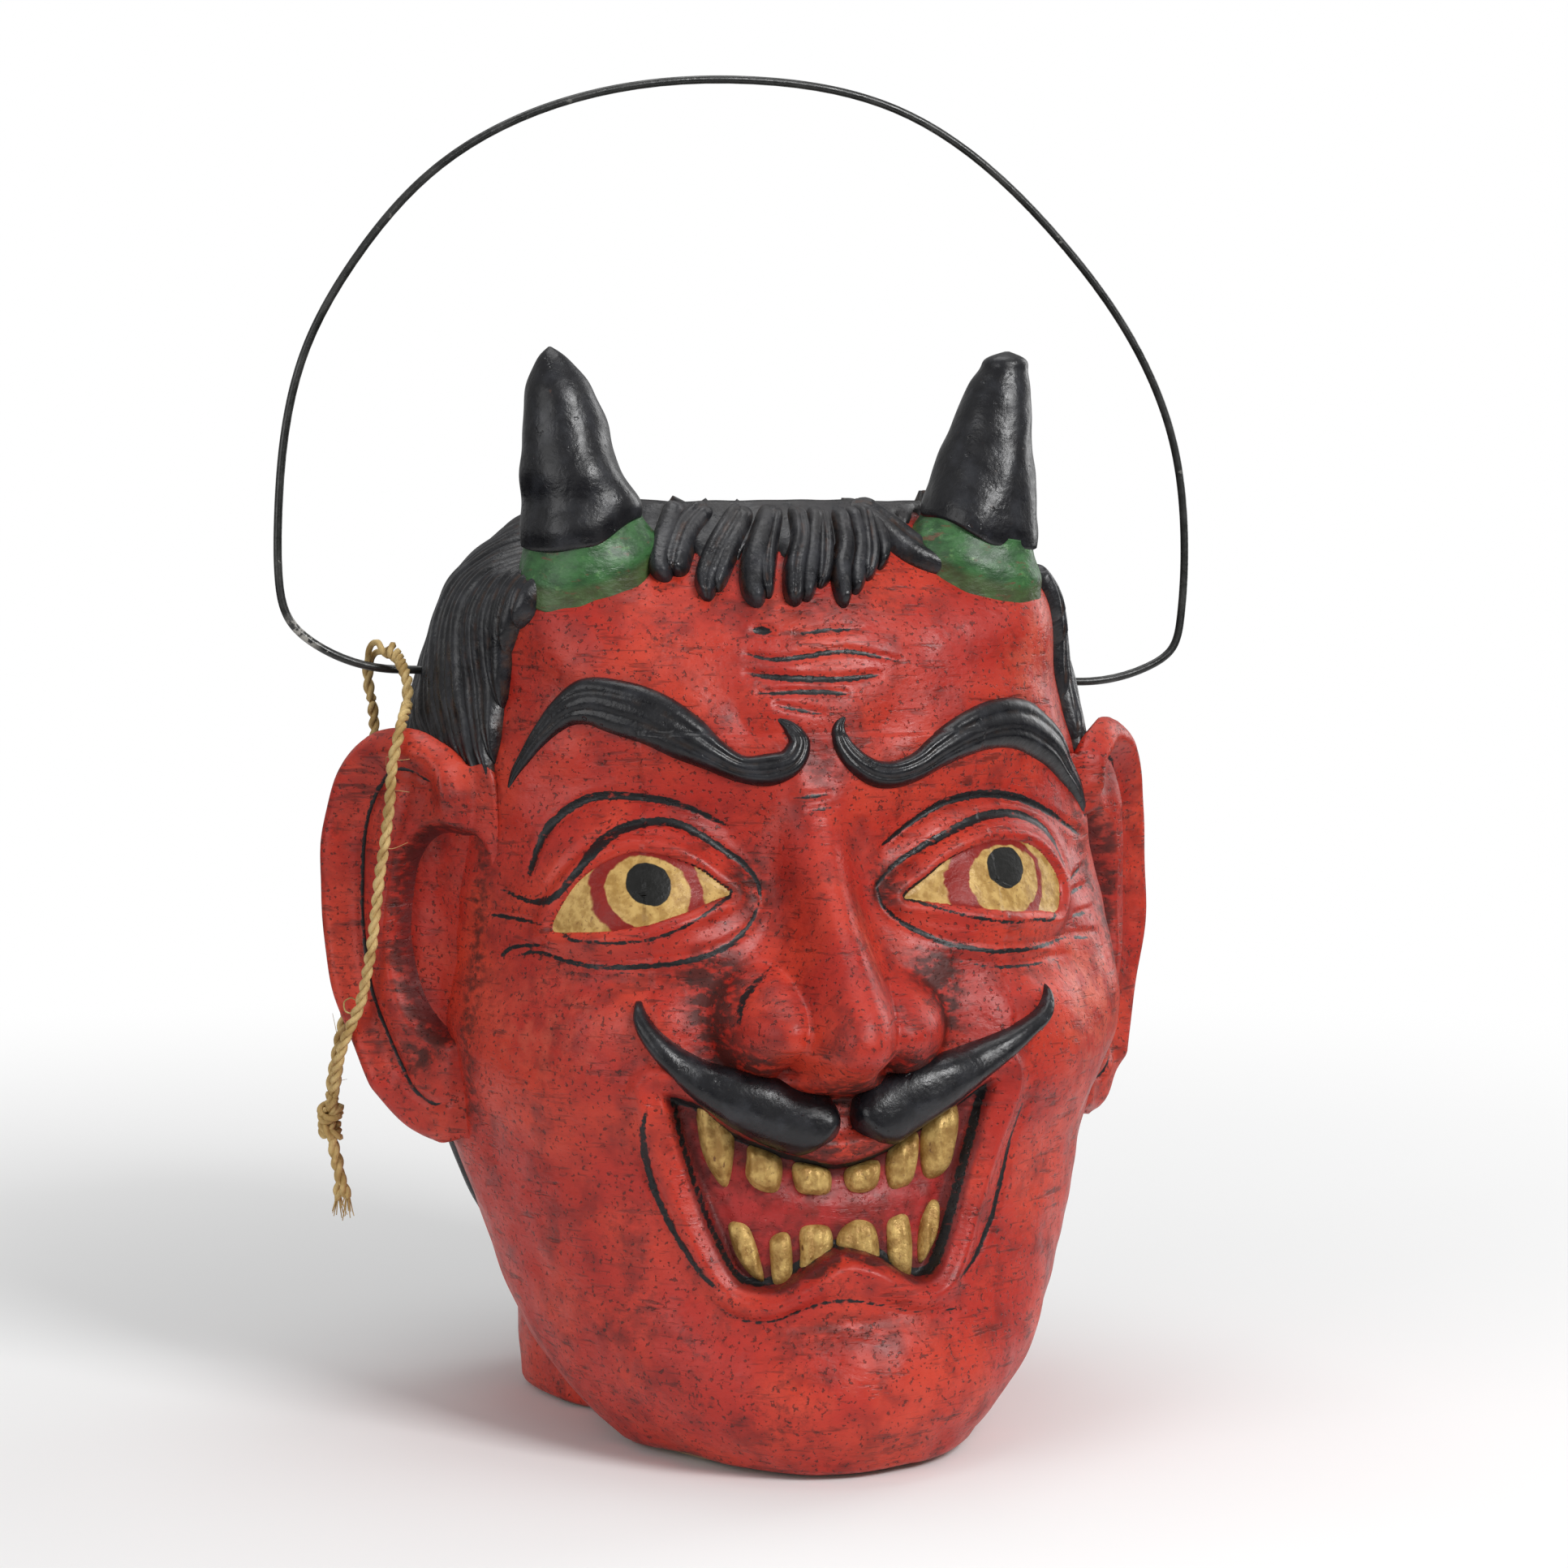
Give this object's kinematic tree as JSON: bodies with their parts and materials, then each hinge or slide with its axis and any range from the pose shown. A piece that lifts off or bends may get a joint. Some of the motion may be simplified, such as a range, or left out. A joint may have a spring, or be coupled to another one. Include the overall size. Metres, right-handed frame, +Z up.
{
  "type": "folk art devil head pail",
  "caption": "Hollow papier-mache devil head with horns, gold teeth and eyes, open at the crown, carried by a swinging wire bail.",
  "frame": {"origin": "on the ground, on the head's middle plane, below the line of the bail's pivots less 7 mm towards the face", "axes": "+Z up through the open crown, -Y the way the face looks, +X towards the head's own left ear"},
  "size_m": [0.2448, 0.2149, 0.3401],
  "materials": {
    "red_paint": "antiqued satin",
    "raw_card": "matte",
    "black_paint": "gloss",
    "hair_paint": "satin",
    "green_paint": "satin",
    "eye_paint": "satin",
    "gold_leaf": "satin",
    "black_wire": "satin",
    "twine": "matte"
  },
  "bodies": {
    "head": {"face_shell": "red_paint", "back_shell": "red_paint", "base_disc": "raw_card", "ear_right": "red_paint", "ear_left": "red_paint", "horn_right": "black_paint", "horn_left": "black_paint", "horn_collar_right": "green_paint", "horn_collar_left": "green_paint", "brow_right": "black_paint", "brow_left": "black_paint", "moustache_right": "black_paint", "moustache_left": "black_paint", "eye_right": "eye_paint", "eye_left": "eye_paint", "teeth_upper": "gold_leaf", "teeth_lower": "gold_leaf", "hair_fringe": "hair_paint", "hair_side_right": "hair_paint", "hair_side_left": "hair_paint", "hair_back": "hair_paint"},
    "bail": {"bail_wire": "black_wire"},
    "twine_hitch": {"twine_hitch": "twine"},
    "twine_loop": {"twine_strands": "twine", "twine_knot": "twine"}
  },
  "joints": [
    {"name": "bail_pivot", "type": "hinge", "parent": "head", "child": "bail", "pos_m": [0, 0.007, 0.1855], "axis": [0.9996, 0, -0.0291], "range_deg": [-130, 130]},
    {"name": "twine_hang", "type": "hinge", "parent": "bail", "child": "twine_hitch", "pos_m": [-0.0955, 0.007, 0.18828], "axis": [0.9996, 0, -0.0291], "range_deg": [-130, 130]},
    {"name": "twine_swing", "type": "hinge", "parent": "twine_hitch", "child": "twine_loop", "pos_m": [-0.0955, 0.007, 0.1897], "axis": [0, 1, 0], "range_deg": [0, 38]}
  ],
  "couplings": [
    {"joint": "twine_hang", "follows": "bail_pivot", "ratio": -1}
  ]
}
